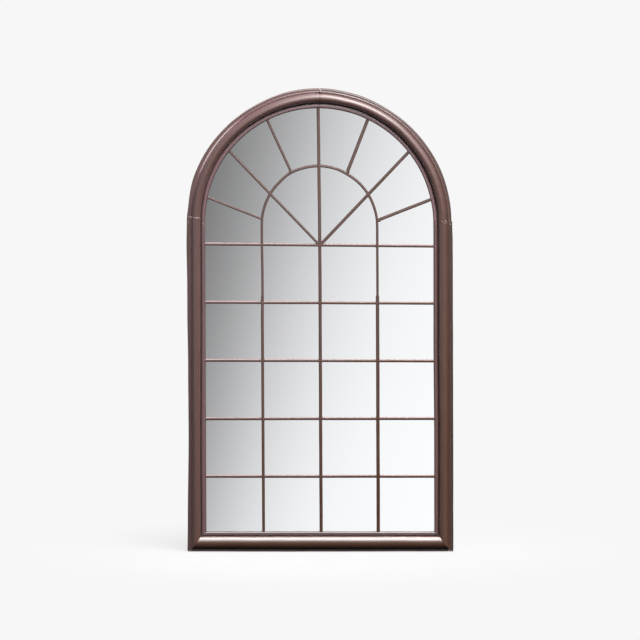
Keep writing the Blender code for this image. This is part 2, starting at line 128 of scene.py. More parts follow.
# The sleeve behind the top seam: how deep its faces lie in thicknesses of the sheet, how many
# points of the section it leaves out at each end, and its reach to each side, in degrees
SLEEVE_SHARES = (1.7, 2.2)
SLEEVE_FIRST, SLEEVE_LAST = 4, 6
SLEEVE_ANGLE, SLEEVE_STEPS = 2.0, 4

# Glazing bars
CENTRE_WIDTH = 0.0092
LEFT_WIDTH = 0.0082
RIGHT_WIDTH = 0.0098
RAIL_WIDTH = 0.0070
HOOP_WIDTH = 0.0070
BAR_CROWN = 0.0005
BAR_EDGE = 0.0019
BAR_GAP = 0.00015
BAR_STEP = 0.012
# Where the bar's rounded edges end, in degrees, their steps, and the points across its crown
BAR_ROUND_END, BAR_ROUND_STEPS, BAR_CROWN_SHARES = 84, 7, (0.4, 0.0, -0.4)
# Painted shade on a bar's sides and painted light on its crest
BAR_SIDE_SHADE, BAR_CREST_SHADE = -0.40, 0.10
# A painted highlight along the upper edge of each rail: its width and how much lighter it is
HIGHLIGHT_EDGE, HIGHLIGHT_EDGE_SHADE = 0.0006, 2.8
WELD_SINK = 0.0008
HOOP_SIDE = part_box("left_bar")[1].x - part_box("left_bar")[0].x
HOOP_RADIUS = (HOOP_HIGH.x - HOOP_LOW.x - HOOP_SIDE) / 2
HOOP_CENTRE = HOOP_HIGH.z - HOOP_SIDE / 2 - HOOP_RADIUS
SPLICE = HOOP_LOW.z

# The photograph's frame: its size in pixels and in metres, the camera's look down in degrees,
# and the pixel row of the mirror's foot and column of its middle
PHOTO_SIZE = 640
PHOTO_WIDTH = 1.8031
CAMERA_PITCH = 7.0
CAMERA_DISTANCE = 4.0
CAMERA_REACH = 100.0
FOOT_PIXEL = 551.5
MIDDLE_PIXEL = 319.65


def place(spot, v):
    """The point of the scene at an (x, z) and v forwards of the back plane."""
    return Vector((spot[0], BACK_Y - v, spot[1]))


def arc(centre, radius, start, end, steps):
    """Points from one angle to another, in degrees, both ends included."""
    angles = [math.radians(start + (end - start) * step / steps) for step in range(steps + 1)]
    return [(centre[0] + radius * math.cos(a), centre[1] + radius * math.sin(a)) for a in angles]


def rounded(path, radius, steps=3):
    """The path with every sharp corner replaced by a small arc, its ends kept."""
    points = [Vector(point) for point in path]
    made = [points[0]]
    for before, here, after in zip(points, points[1:], points[2:]):
        arrive, leave = here - before, after - here
        turn = arrive.angle_signed(leave, 0.0)
        if abs(turn) < math.radians(SHARP_TURN):
            made.append(here)
            continue
        limit = min(arrive.length, leave.length) * CUT_SHARE
        cut = min(radius * math.tan(abs(turn) / 2), limit)
        start, end = here - arrive.normalized() * cut, here + leave.normalized() * cut
        for step in range(steps + 1):
            share = step / steps
            first, second = start.lerp(here, share), here.lerp(end, share)
            made.append(first.lerp(second, share))
    made.append(points[-1])
    return made


def offset(path, distance):
    """An open path moved to its right, with its corners mitred."""
    runs = [(after - before).normalized() for before, after in zip(path, path[1:])]
    sides = [Vector((run.y, -run.x)) for run in runs]
    made = []
    for point, before, after in zip(path, sides[:1] + sides, sides + sides[-1:]):
        middle = (before + after).normalized()
        made.append(point + middle / max(middle.dot(after), MITRE_LIMIT) * distance)
    return made


def moulding_path():
    """The visible outside of the moulding, from the wall round the front to the fixing flange:
    a flat outer lip with a small ridge, a cove, a round bead, a narrow valley and a rounded
    inner lip with a short wall at the glass."""
    valley_v = STOP_V + VALLEY_RISE
    rebate_u = FACE_WIDTH - STOP_WIDTH
    bead_centre = (OUTER_LIP_WIDTH + BEAD_WIDTH / 2, BACK_Y - LOW.y - BEAD_WIDTH / 2)
    lip_v = valley_v + OUTER_LIP_RISE
    flat_v = lip_v - FLAT_DROP
    ridge_centre = (RIDGE_U, lip_v - RIDGE_ROUND)
    ridge_foot = math.degrees(math.asin(1 - FLAT_DROP / RIDGE_ROUND))
    cove_centre = (OUTER_LIP_WIDTH - COVE_RADIUS, lip_v - GROOVE_DROP + COVE_RADIUS)
    path = [(RETURN_FLANGE, 0), (0, 0)]
    path += arc((EDGE_ROUND, flat_v - EDGE_ROUND), EDGE_ROUND, 180, 90, EDGE_STEPS)
    path += arc(ridge_centre, RIDGE_ROUND, 180 - ridge_foot, RIDGE_END, RIDGE_STEPS)
    path += arc(cove_centre, COVE_RADIUS, 270, 360, COVE_STEPS)
    path += arc(bead_centre, BEAD_WIDTH / 2, 180, 0, BEAD_STEPS)
    path += [(LIP_FOOT_U - VALLEY_WIDTH, valley_v), (LIP_FOOT_U, valley_v)]
    peak_u = LIP_FOOT_U + INNER_LIP_PEAK
    for step in range(1, LIP_STEPS + 1):
        angle = math.pi * step / LIP_STEPS
        reach_u = INNER_LIP_PEAK if step < LIP_STEPS / 2 else FACE_WIDTH - peak_u
        rise = INNER_LIP_RISE * math.sin(angle)
        path.append((peak_u - reach_u * math.cos(angle), valley_v + rise))
    path += [(FACE_WIDTH, STOP_V), (rebate_u, STOP_V)]
    path += [(rebate_u, FLANGE_V), (rebate_u - FLANGE_WIDTH, FLANGE_V)]
    return rounded(path, FILLET)


def add_object(name, data):
    obj = bpy.data.objects.new(name, data)
    bpy.context.scene.collection.objects.link(obj)
    return obj


def add_mesh(name, bm, paint):
    mesh = bpy.data.meshes.new(name)
    bm.to_mesh(mesh)
    bm.free()
    mesh.materials.append(paint)
    return add_object(name, mesh)


def distances(points):
    """Distance along a path to each of its points."""
    total = [0.0]
    for before, after in zip(points, points[1:]):
        total.append(total[-1] + (after - before).length)
    return total


def mesh_object(name, bm, paint, sharp_degrees=38):
    """A smooth piece, with hard edges where its faces turn by more than an angle."""
    bmesh.ops.recalc_face_normals(bm, faces=bm.faces)
    obj = add_mesh(name, bm, paint)
    obj.data.shade_smooth()
    obj.data.set_sharp_from_angle(angle=math.radians(sharp_degrees))
    return obj


def skin(name, rings, alongs, section, paint, shade, folded=False):
    """A closed body through equal rings of points. Its UV map holds real distances, and shade
    gives the painted light and shade: how much lighter or darker its paint is at a ring and a
    place round the section. The section of a folded strip runs along its front and back again, so
    its ends close in pairs."""
    around = distances(section + section[:1])
    bm = bmesh.new()
    uv = bm.loops.layers.uv.new("Distance")
    tone = bm.verts.layers.float.new("Shade")
    count = len(rings[0])
    rows = [[bm.verts.new(point) for point in ring] for ring in rings]
    for row, s in zip(rows, alongs):
        for i, vert in enumerate(row):
            vert[tone] = shade(s, i)
    for low, high, low_s, high_s in zip(rows, rows[1:], alongs, alongs[1:]):
        for i in range(count):
            j = (i + 1) % count
            face = bm.faces.new((low[i], low[j], high[j], high[i]))
            marks = ((low_s, around[i]), (low_s, around[i + 1]))
            marks += ((high_s, around[i + 1]), (high_s, around[i]))
            for loop, mark in zip(face.loops, marks):
                loop[uv].uv = mark
    for row in (rows[0][::-1], rows[-1]):
        if folded:
            for i in range(count // 2 - 1):
                bm.faces.new((row[i], row[i + 1], row[count - 2 - i], row[count - 1 - i]))
        else:
            bm.faces.new(row)
    return mesh_object(name, bm, paint)


PATH = moulding_path()
INSIDE = offset(PATH, SHEET)[::-1]
# The folded sheet's outline, and the same at its ends, where the visible side is chamfered
SECTION, SECTION_END = PATH + INSIDE, offset(PATH, SEAM_CHAMFER) + INSIDE

# How far the hand work wanders, and how quickly along a length
BEAD_WANDER, BEAD_PACE_U, BEAD_PACE_V = 0.00045, 9.0, 13.0
LIP_WANDER, LIP_PACE = 0.00045, 11.0
BAR_LINE_WANDER, BAR_LINE_PACE = 0.00035, 8.0
BAR_WIDTH_WANDER_SHARE, BAR_WIDTH_PACE = 0.035, 22.0
# Where each seed's row lies in the noise
SEED_ROW = (7.31, 1.7)
# Seeds of the bars and the lumps, most the first of a run, and of the welds' random draws
UPRIGHT_SEED, HOOP_SEED, RAIL_SEED, SPOKE_SEED = 11, 14, 20, 30
FILLER_SEED, SEAT_SEED = 90, 40
CROSS_WELD_DRAWS, SEAT_WELD_DRAWS = 5, 8


def hand(seed, along, pace):
    """Smooth wandering between -1 and 1 along a length, the same on every run."""
    return noise.noise(Vector((along * pace, seed * SEED_ROW[0], seed * SEED_ROW[1])))


# The long lines of a moulding: its outer edge, the groove outside the bead, the valley inside it
# and the edge on the glass
LINES = (0.0, OUTER_LIP_WIDTH, LIP_FOOT_U, FACE_WIDTH)

# How far hand work moved each of those lines inwards, in millimetres, at places along a length:
# heights on a stile, degrees up from the springing line on the arch, and from -1 at the left to
# 1 at the right on the bottom rail
STRAYS = {
    "left_stile": {
        0.00: (2.8, 2.4, 0.5, 3.6),
        0.08: (3.6, 3.0, 0.2, 3.6),
        0.30: (5.8, 4.0, -1.2, 2.8),
        0.50: (4.6, 3.0, -0.8, 2.0),
        0.70: (2.2, 2.4, -0.4, 1.4),
        0.89: (0.0, 2.0, -0.8, 0.6),
        0.935: (0.4, 1.6, -0.8, 0.6),
    },
    "right_stile": {
        0.00: (-1.8, -0.6, -2.2, -0.2),
        0.30: (-1.6, 0.0, -2.4, 0.0),
        0.62: (-0.6, 0.2, 0.2, 2.0),
        0.88: (0.0, 1.4, 0.4, 2.1),
        0.935: (1.8, 2.2, 1.0, 2.4),
    },
    "bottom_rail": {
        -1.0: (0.2, -3.0, 4.5, 4.1),
        0.0: (0.0, -3.2, 4.7, 4.3),
        1.0: (0.4, -3.0, 4.7, 4.1),
    },
    "arch_right": {
        0: (4.0, 4.0, 1.2, 2.6),
        17: (4.2, 5.6, 2.8, 4.4),
        38: (4.8, 6.4, 3.1, 4.7),
        54: (4.6, 3.8, 1.4, 4.2),
        75: (1.7, 2.4, -2.0, 2.4),
        90: (-1.8, -1.0, -3.0, 1.2),
    },
    "arch_left": {
        0: (0.4, 2.0, -0.8, 0.6),
        6: (2.2, 2.6, -1.0, 0.6),
        20: (-1.4, 2.6, -2.6, 0.0),
        36: (-1.0, 2.6, -3.4, -0.3),
        56: (-1.1, 2.4, -2.8, -0.3),
        75: (-2.6, 0.6, -2.6, 0.0),
        90: (-1.8, -1.0, -3.0, 1.2),
    },
    # The hoop's line, outwards from a true circle, at degrees round from the right
    "hoop": {
        0: (-1.3,), 20: (-3.1,), 60: (-2.9,), 75: (-0.6,), 90: (0.6,),
        105: (1.2,), 120: (2.4,), 135: (0.0,), 160: (-0.4,), 180: (0.0,),
    },
}


def strays_at(name, at):
    """How far each line strays at a place, eased between the places that the table lists."""
    table = STRAYS[name]
    places = sorted(table)
    at = min(max(at, places[0]), places[-1])
    for before, after in zip(places, places[1:]):
        if at <= after:
            share = (at - before) / (after - before)
            share = share * share * (3 - 2 * share)
            pairs = zip(table[before], table[after])
            return [(first + (last - first) * share) * MILLIMETRE for first, last in pairs]


def moved(u, v, strays):
    """Where a point of the section lands once the long lines have strayed."""
    if v < STOP_V - SHEET * 2 and u > OUTER_LIP_WIDTH + BEAD_WIDTH / 3:
        return u
    within = min(max(u, LINES[0]), LINES[-1])
    for low, high, first, last in zip(LINES, LINES[1:], strays, strays[1:]):
        if within <= high:
            return u + first + (last - first) * (within - low) / (high - low)


def hand_worked(u, v, seed, along):
    """Moves a section's front a little, as hand work on long sheet leaves it."""
    front = min(max((v - STOP_V) / VALLEY_RISE, 0.0), 1.0)
    outer = min(max((OUTER_LIP_WIDTH - u) / OUTER_LIP_WIDTH, 0.0), 1.0)
    inner = min(max((FACE_WIDTH - STOP_WIDTH - u) / STOP_WIDTH, 0.0), 1.0)
    shifted_u = u + front * inner * BEAD_WANDER * hand(seed, along, BEAD_PACE_U)
    shifted_v = v + front * inner * BEAD_WANDER * hand(seed + 3, along, BEAD_PACE_V)
    return shifted_u + outer * LIP_WANDER * hand(seed + 5, along, LIP_PACE), shifted_v


CORNER_RADIUS = 0.0042
# Where extra rings lie near a rounded corner
CORNER_RINGS = (0.0012, 0.0022, 0.0032, 0.0045)


def end_spaced(length, steps):
    """Distances along a length, with extra ones near each end for the chamfer and the corner."""
    close = SEAM_CHAMFER
    inside = [close + (length - 2 * close) * i / steps for i in range(steps + 1)]
    corners = list(CORNER_RINGS) + [length - ring for ring in CORNER_RINGS]
    return sorted([0.0, length] + inside + corners)


# Painted shade on the outer lip's flat, painted light on its ridge and painted shade in the
# valley; where the groove lies, and how wide the painted shadow line at the glass is
FLAT_SHADE, RIDGE_SHADE, VALLEY_SHADE = -0.3, 0.05, -0.25
GROOVE_START, GROOVE_END, GLASS_SHADOW_WIDTH = 0.0094, 0.0135, 0.0026
# Painted light, or painted shade below 0, on each piece along its outer lip, the groove outside
# the bead, the inner lip and the painted shadow line at the glass
PAINTED_LIGHT_BY_PIECE = {
    "left_stile": (0.15, 1.2, 0.6, -0.2),
    "arch_left": (0.15, 0.6, 0.8, -0.4),
    "arch_right": (-0.15, 0.0, 1.0, 0.0),
    "right_stile": (-0.42, 0.0, 0.4, -0.95),
    "bottom_rail": (2.8, -0.2, 1.1, -0.9),
}
# The glint's middle and half width across the section, and its middle and half length along it
GLINT_U, GLINT_WIDTH = 0.0080, 0.0020
GLINT_MIDDLE, GLINT_LENGTH, GLINT_SHADE = 0.215, 0.11, 3.2


def glint(name, s, u):
    """A painted highlight: the pale line along the left shoulder of the arch."""
    if name != "arch_left" or abs(u - GLINT_U) > GLINT_WIDTH:
        return 0.0
    away = (s - GLINT_MIDDLE) / GLINT_LENGTH
    across = 1 - ((u - GLINT_U) / GLINT_WIDTH) ** 2
    return GLINT_SHADE * across * max(0.0, 1 - away * away)


def moulding_shade(name, s, u, v):
    """The painted light, or painted shade below 0, at a place on a moulding."""
    lip, groove, inner_lip, glass_shadow = PAINTED_LIGHT_BY_PIECE[name]
    if v < STOP_V - SHEET:
        return glint(name, s, u)
    if u > LIP_FOOT_U + VALLEY_WIDTH / 2:
        return glass_shadow if u > FACE_WIDTH - GLASS_SHADOW_WIDTH else inner_lip
    if u > GROOVE_END:
        return VALLEY_SHADE if u > LIP_FOOT_U - VALLEY_WIDTH * 2 else 0.0
    tone = glint(name, s, u) + (groove if u > GROOVE_START else lip)
    if u < RIDGE_U - RIDGE_ROUND:
        return tone + FLAT_SHADE
    return tone + RIDGE_SHADE if u < RIDGE_U + RIDGE_ROUND / 2 else tone


def moulding(name, seed, paint, length, steps, locate):
    """Draws the moulding along a length. locate gives the (x, z) of a distance along it and a
    point of the section, from how far in and forwards the point lies."""
    alongs = end_spaced(length, steps)
    rings = []
    for s in alongs:
        ring = []
        for u, v in SECTION_END if s in (0.0, length) else SECTION:
            u, v = hand_worked(u, v, seed, s)
            ring.append(place(locate(s, u, v), v))
        rings.append(ring)

    # The painted light and shade at each point of the section
    def shade(s, i):
        return moulding_shade(name, s, *SECTION[i])

    dress(skin(name + "_moulding", rings, alongs, SECTION, paint, shade), name)


def dress(piece, *nodes, slot="painted_steel"):
    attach(piece, "root")
    if nodes:
        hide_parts(*nodes)


STILES, ARCHES = {-1: "left_stile", 1: "right_stile"}, {-1: "arch_left", 1: "arch_right"}
# How far up the arch each stile runs before its seam, in degrees
SEAM_ANGLES = {-1: 2.1, 1: 0.6}
MIDDLE_RADIUS = HALF_WIDTH - FACE_WIDTH / 2
SEAM_TURN = math.degrees(SEAM_GAP / MIDDLE_RADIUS)


def on_arch(side, degrees, u, v):
    """A point of the arch's moulding, at an angle up from the springing line."""
    radius = HALF_WIDTH - moved(u, v, strays_at(ARCHES[side], degrees))
    angle = math.radians(degrees)
    return side * radius * math.cos(angle), SPRINGING + ARCH_LIFT + radius * math.sin(angle)


def corner_rounded(x, z):
    """Draws a point in where it would lie outside the rounded lower corner on its side."""
    side = -1 if x < 0 else 1
    edge = HALF_WIDTH - strays_at(STILES[side], 0.0)[0]
    centre = Vector((side * (edge - CORNER_RADIUS), CORNER_RADIUS))
    arm = Vector((x, z)) - centre
    beyond = arm.x * side > 0 and arm.y < 0
    if not beyond or arm.length <= CORNER_RADIUS:
        return x, z
    return centre + arm.normalized() * CORNER_RADIUS


def stile(side, seed, paint):
    name = STILES[side]
    foot_strays = strays_at("bottom_rail", side)
    curve = math.radians(SEAM_ANGLES[side]) * MIDDLE_RADIUS

    def locate(s, u, v):
        if s > SPRINGING:
            return on_arch(side, math.degrees((s - SPRINGING) / MIDDLE_RADIUS) - SEAM_TURN, u, v)
        foot = moved(u, v, foot_strays) + SEAM_GAP
        z = foot + (SPRINGING + ARCH_LIFT - foot) * s / SPRINGING
        x = side * (HALF_WIDTH - moved(u, v, strays_at(name, z)))
        return corner_rounded(x, z)

    moulding(name, seed, paint, SPRINGING + curve, STILE_STEPS, locate)


def bottom_rail(seed, paint):
    length = 2 * HALF_WIDTH
    ends = {side: strays_at(name, 0.0) for side, name in STILES.items()}

    def locate(s, u, v):
        across = 2 * s / length - 1
        left, right = [side * (HALF_WIDTH - SEAM_GAP - moved(u, v, ends[side])) for side in ends]
        x = left + (right - left) * s / length
        return corner_rounded(x, moved(u, v, strays_at("bottom_rail", across)))

    moulding("bottom_rail", seed, paint, length, BOTTOM_RAIL_STEPS, locate)


def arch_half(side, seed, paint):
    foot = SEAM_ANGLES[side]
    length = MIDDLE_RADIUS * math.radians(90 - foot)
    low = foot + SEAM_TURN
    high = 90 - math.degrees(TOP_SEAM_GAP / 2 / MIDDLE_RADIUS)

    def locate(s, u, v):
        return on_arch(side, low + (high - low) * s / length, u, v)

    moulding(ARCHES[side], seed, paint, length, ARCH_STEPS, locate)


def top_sleeve(paint):
    """The strip of sheet welded behind the seam at the top, seen as the dark of its gap."""
    kept = slice(SLEEVE_FIRST, len(PATH) - SLEEVE_LAST)
    front, back = [offset(PATH, SHEET * share)[kept] for share in SLEEVE_SHARES]
    section = front + back[::-1]
    steps = range(SLEEVE_STEPS + 1)
    angles = [90 - SLEEVE_ANGLE + 2 * SLEEVE_ANGLE * step / SLEEVE_STEPS for step in steps]
    rings = [[place(on_arch(1, degrees, u, v), v) for u, v in section] for degrees in angles]
    alongs = [math.radians(degrees) * MIDDLE_RADIUS for degrees in angles]
    dress(skin("top_seam_sleeve", rings, alongs, section, paint, lambda s, i: 0.0, True))


def front_of(u):
    """How far forward the moulding's face lies at a distance in from its outer edge."""
    best = 0.0
    for before, after in zip(PATH, PATH[1:]):
        low, high = sorted((before.x, after.x))
        if low <= u <= high and high > low:
            share = (u - before.x) / (after.x - before.x)
            best = max(best, before.y + (after.y - before.y) * share)
    return best


# Lumps of pale filler and chips in the paint: the piece, the place along it as in the table of
# strays, and in millimetres how far in, and half sizes across and up
FILLER_MARKS = [
    ("arch_left", 2.15, 7.5, 4.0, 1.1),
    ("arch_left", 2.15, 13.0, 4.4, 0.9),
    ("arch_left", 2.10, 19.5, 4.0, 0.8),
    ("arch_left", 2.05, 27.0, 5.2, 1.3),
    ("arch_left", 2.05, 33.5, 4.0, 0.9),
    ("left_stile", 0.9340, 3.5, 2.0, 1.0),
    ("left_stile", 0.9320, 46.5, 2.2, 1.8),
    ("left_stile", 0.9296, 49.0, 1.8, 1.2),
    ("right_stile", 0.9300, 45.5, 2.0, 1.7),
    ("arch_right", 0.55, 18.0, 2.2, 1.5),
    ("arch_right", 0.75, 16.0, 1.8, 1.3),
    ("arch_right", 0.45, 27.0, 2.0, 0.8),
    ("right_stile", 0.9290, 5.0, 2.1, 1.4),
    ("right_stile", 0.8660, 44.0, 1.2, 1.1),
    ("arch_right", 89.75, 4.0, 2.2, 4.0),
    ("arch_right", 89.2, 7.5, 4.0, 1.2),
    ("arch_right", 80.0, 45.0, 3.0, 1.2),
    ("left_stile", 0.0345, 37.5, 1.0, 1.1),
    ("bottom_rail", 0.695, 4.0, 1.6, 1.0),
    ("bottom_rail", 0.04, 33.0, 1.1, 0.9),
    ("right_stile", 0.18, 44.0, 0.9, 0.8),
    ("right_stile", 0.15, 40.0, 0.9, 1.0),
    ("right_stile", 0.11, 44.5, 0.8, 0.9),
    ("bottom_rail", -0.56, 40.0, 1.2, 0.7),
]


def filler_marks(paint):
    bm = bmesh.new()
    for number, (name, at, *sizes) in enumerate(FILLER_MARKS):
        u, across, up = [size * MILLIMETRE for size in sizes]
        v = front_of(u)
        side = -1 if "left" in name else 1
        strays = strays_at(name, at)
        if name.startswith("arch"):
            x, z = on_arch(side, at, u, v)
        elif name == "bottom_rail":
            x, z = at * HALF_WIDTH, moved(u, v, strays)
        else:
            x, z = side * (HALF_WIDTH - moved(u, v, strays)), at
        blob(bm, x, z, v - MARK_SINK, across, up, MARK_SINK * 2, FILLER_SEED + number)
    dress(mesh_object("filler_marks", bm, paint))


def bar_outline(width):
    """A bar with a flat back and a crowned front, its edges softened, as (sideways, v)."""
    half = width / 2
    top = BAR_FRONT - BAR_CROWN
    back = STOP_V + BAR_GAP
    path = [(0.0, back), (half, back)]
    right, left = (half - BAR_EDGE, top - BAR_EDGE), (BAR_EDGE - half, top - BAR_EDGE)
    path += arc(right, BAR_EDGE, 0, BAR_ROUND_END, BAR_ROUND_STEPS)
    for share in BAR_CROWN_SHARES:
        path.append((share * (half - BAR_EDGE), top + BAR_CROWN * (1 - share * share)))
    path += arc(left, BAR_EDGE, 180 - BAR_ROUND_END, 180, BAR_ROUND_STEPS)
    path.append((-half, back))
    return [Vector(point) for point in path]


def bar(name, route, width, seed, paint, node, highlit_edge=False):
    """A bar that follows a route of (x, z) points, slightly uneven in width and line."""
    section = bar_outline(width)
    points = [Vector(point) for point in route]
    alongs = distances(points)
    rings = []
    for i, (point, s) in enumerate(zip(points, alongs)):
        after, before = points[min(i + 1, len(points) - 1)], points[max(i - 1, 0)]
        along = (after - before).normalized()
        across = Vector((-along.y, along.x))
        grow = 1 + BAR_WIDTH_WANDER_SHARE * hand(seed, s, BAR_WIDTH_PACE)
        drift = BAR_LINE_WANDER * hand(seed + 2, s, BAR_LINE_PACE)
        rings.append([
            place(point + across * (sideways * grow + drift), v) for sideways, v in section
        ])
    half = width / 2

    # Painted shade on the sides, painted light on the crest and a painted highlight on a rail's
    # upper edge
    def shade(s, i):
        sideways, v = section[i]
        if v < BAR_FRONT - BAR_CROWN - BAR_EDGE:
            return BAR_SIDE_SHADE
        if highlit_edge and sideways > half - HIGHLIGHT_EDGE:
            return HIGHLIGHT_EDGE_SHADE
        crest = 1 - (sideways / half) ** 2
        return BAR_SIDE_SHADE + (BAR_CREST_SHADE - BAR_SIDE_SHADE) * crest

    dress(skin(name + "_glazing_bar", rings, alongs, section, paint, shade), node)


def line(start, end):
    start, end = Vector(start), Vector(end)
    count = max(2, int((end - start).length / BAR_STEP))
    return [start.lerp(end, i / count) for i in range(count + 1)]


# The line of each upright: its place half a metre up, and its lean to the side for each metre up
LEFT_PLACE, LEFT_LEAN = -0.1604, -0.0059
CENTRE_PLACE, CENTRE_LEAN, CENTRE_TOP_LEAN = 0.0022, -0.0045, -0.0075
RIGHT_PLACE, RIGHT_LEAN = 0.1637, -0.0033
LEAN_FROM = 0.5
LEFT_BULGE, LEFT_BULGE_HEIGHT, LEFT_BULGE_REACH = 0.0011, 0.77, 0.12


def left_x(z):
    share = max(0.0, 1 - ((z - LEFT_BULGE_HEIGHT) / LEFT_BULGE_REACH) ** 2)
    return LEFT_PLACE + LEFT_LEAN * (z - LEAN_FROM) + LEFT_BULGE * share * share


def centre_x(z):
    above_hub = max(0.0, z - HUB)
    return CENTRE_PLACE + CENTRE_LEAN * (z - LEAN_FROM) + CENTRE_TOP_LEAN * above_hub


def right_x(z):
    return RIGHT_PLACE + RIGHT_LEAN * (z - LEAN_FROM)


# Rise of each rail's left end and right end above its true height
RAIL_TILTS = {
    "rail_1": (0.0007, -0.0066),
    "rail_2": (-0.0010, -0.0044),
    "rail_3": (-0.0018, -0.0042),
    "rail_4": (-0.0042, -0.0032),
    "rail_5": (-0.0034, -0.0035),
}


def rail_z(name, x):
    left, right = RAIL_TILTS[name]
    return RAIL_HEIGHTS[name] + RAIL_LIFT + left + (right - left) * (x / HALF_WIDTH + 1) / 2


# Each spoke's outer end and inner end, before it is run on to what it is welded to, and its width
SPOKES = {
    "diagonal_left": ((-0.2574, 1.1376), (-0.0006, 0.8682), 0.0066),
    "diagonal_right": ((0.2516, 1.1326), (0.0020, 0.8688), 0.0080),
    "spoke_left_lower": ((-0.3145, 1.0030), (-0.1610, 0.9418), 0.0062),
    "spoke_left_upper": ((-0.1493, 1.2263), (-0.0820, 1.0786), 0.0068),
    "spoke_right_upper": ((0.1361, 1.2253), (0.0789, 1.0776), 0.0090),
    "spoke_right_lower": ((0.3155, 0.9981), (0.1655, 0.9392), 0.0078),
}

# Degrees between the points of the hoop's round
HOOP_TURN = 3


def reach(point, along, height, radius):
    """Where a ray from inside a circle meets it. The circle's centre is at x 0 and a height."""
    arm = point - Vector((0, height))
    b = arm.dot(along)
    c = arm.dot(arm) - radius * radius
    return point + along * (math.sqrt(max(b * b - c, 0.0)) - b)


def hoop_point(degrees):
    radius = HOOP_RADIUS + strays_at("hoop", degrees)[0]
    angle = math.radians(degrees)
    return radius * math.cos(angle), HOOP_CENTRE + ARCH_LIFT + radius * math.sin(angle)


def hoop_route():
    start = HOOP_CENTRE - BAR_STEP
    left = [(left_x(z), z) for _, z in line((0, SPLICE), (0, start))]
    crown = [hoop_point(degrees) for degrees in range(180, -1, -HOOP_TURN)]
    right = [(right_x(z), z) for _, z in line((0, start), (0, SPLICE))]
    return left + crown + right


def glazing_bars(paint):
    inside = HALF_WIDTH - FACE_WIDTH + WELD_SINK
    foot, splice = FACE_WIDTH - WELD_SINK, SPLICE - SEAM_GAP
    uprights = [("centre", centre_x, CENTRE_WIDTH, SPRINGING + inside)]
    uprights += [("left", left_x, LEFT_WIDTH, splice), ("right", right_x, RIGHT_WIDTH, splice)]
    for number, (name, lean, width, top) in enumerate(uprights):
        route = [(lean(z), z) for _, z in line((0, foot), (0, top))]
        bar(name, route, width, UPRIGHT_SEED + number, paint, name + "_bar")
    bar("hoop", hoop_route(), HOOP_WIDTH, HOOP_SEED, paint, "hoop")
    for number, name in enumerate(RAILS):
        route = [(x, rail_z(name, x)) for x, _ in line((-inside, 0), (inside, 0))]
        bar(name, route, RAIL_WIDTH, RAIL_SEED + number, paint, name, highlit_edge=True)
    for number, (name, (_, _, width)) in enumerate(SPOKES.items()):
        inner, along = spoke_line(name)
        end = reach(inner, along, SPRINGING, inside)
        if not name.startswith("diagonal"):
            inner = inner - along * WELD_SINK
        bar(name, line(inner, end), width, SPOKE_SEED + number, paint, name)


# How uneven a lump is, how fine its unevenness, and how far apart two seeds lie in the noise
LUMP_SHARE, LUMP_PACE, LUMP_ROW = 0.16, 1.6, 2.1


def blob(bm, x, z, v, across, up, out, seed):
    """One lump of weld or filler, flattened and uneven."""
    made = bmesh.ops.create_icosphere(bm, subdivisions=3, radius=1.0)
    for vert in made["verts"]:
        source = vert.co * LUMP_PACE + Vector((seed, seed * LUMP_ROW, 0.0))
        lump = 1 + LUMP_SHARE * noise.noise(source)
        spot = (x + vert.co.x * across * lump, z + vert.co.z * up * lump)
        vert.co = place(spot, v - vert.co.y * out * lump)


def spoke_line(name):
    """A spoke's inner end and its direction outwards."""
    outer, inner, _ = SPOKES[name]
    outer, inner = Vector(outer), Vector(inner)
    return inner + Vector((0, ARCH_LIFT)), (outer - inner).normalized()


def crossing_points():
    """Where bars cross or meet, as (x, z)."""
    found = []
    for name in RAILS:
        height = RAIL_HEIGHTS[name]
        for upright in (left_x, centre_x, right_x):
            found.append((upright(height), rail_z(name, upright(height))))
    found.append((centre_x(HOOP_HIGH.z), hoop_point(90)[1]))
    for name in SPOKES:
        inner, along = spoke_line(name)
        if name.startswith("diagonal"):
            inner = reach(inner, along, HOOP_CENTRE, HOOP_RADIUS)
        found.append(inner)
    return found


# The welds' least and greatest half sizes, how far those at crossings lie behind the bars'
# fronts and spread, how tall they are as shares of their width, and how far all stand out
CROSS_WELD, SEAT_WELD = (0.0028, 0.0040), (0.0030, 0.0042)
CROSS_WELD_BEHIND, CROSS_WELD_SPREAD, CROSS_WELD_COUNT = 0.0022, 0.003, 3
CROSS_WELD_SHARES = (0.8, 1.1)
CROSS_WELD_OUT, SEAT_WELD_OUT = 0.0024, 0.0040


def bar_welds(paint):
    rng = random.Random(CROSS_WELD_DRAWS)
    bm = bmesh.new()
    front = BAR_FRONT - CROSS_WELD_BEHIND
    spread = (-CROSS_WELD_SPREAD, CROSS_WELD_SPREAD)
    for number, (x, z) in enumerate(crossing_points()):
        for _ in range(CROSS_WELD_COUNT):
            dx, dz = rng.uniform(*spread), rng.uniform(*spread)
            across = rng.uniform(*CROSS_WELD)
            up = across * rng.uniform(*CROSS_WELD_SHARES)
            blob(bm, x + dx, z + dz, front, across, up, CROSS_WELD_OUT, number)
    dress(mesh_object("bar_welds", bm, paint))


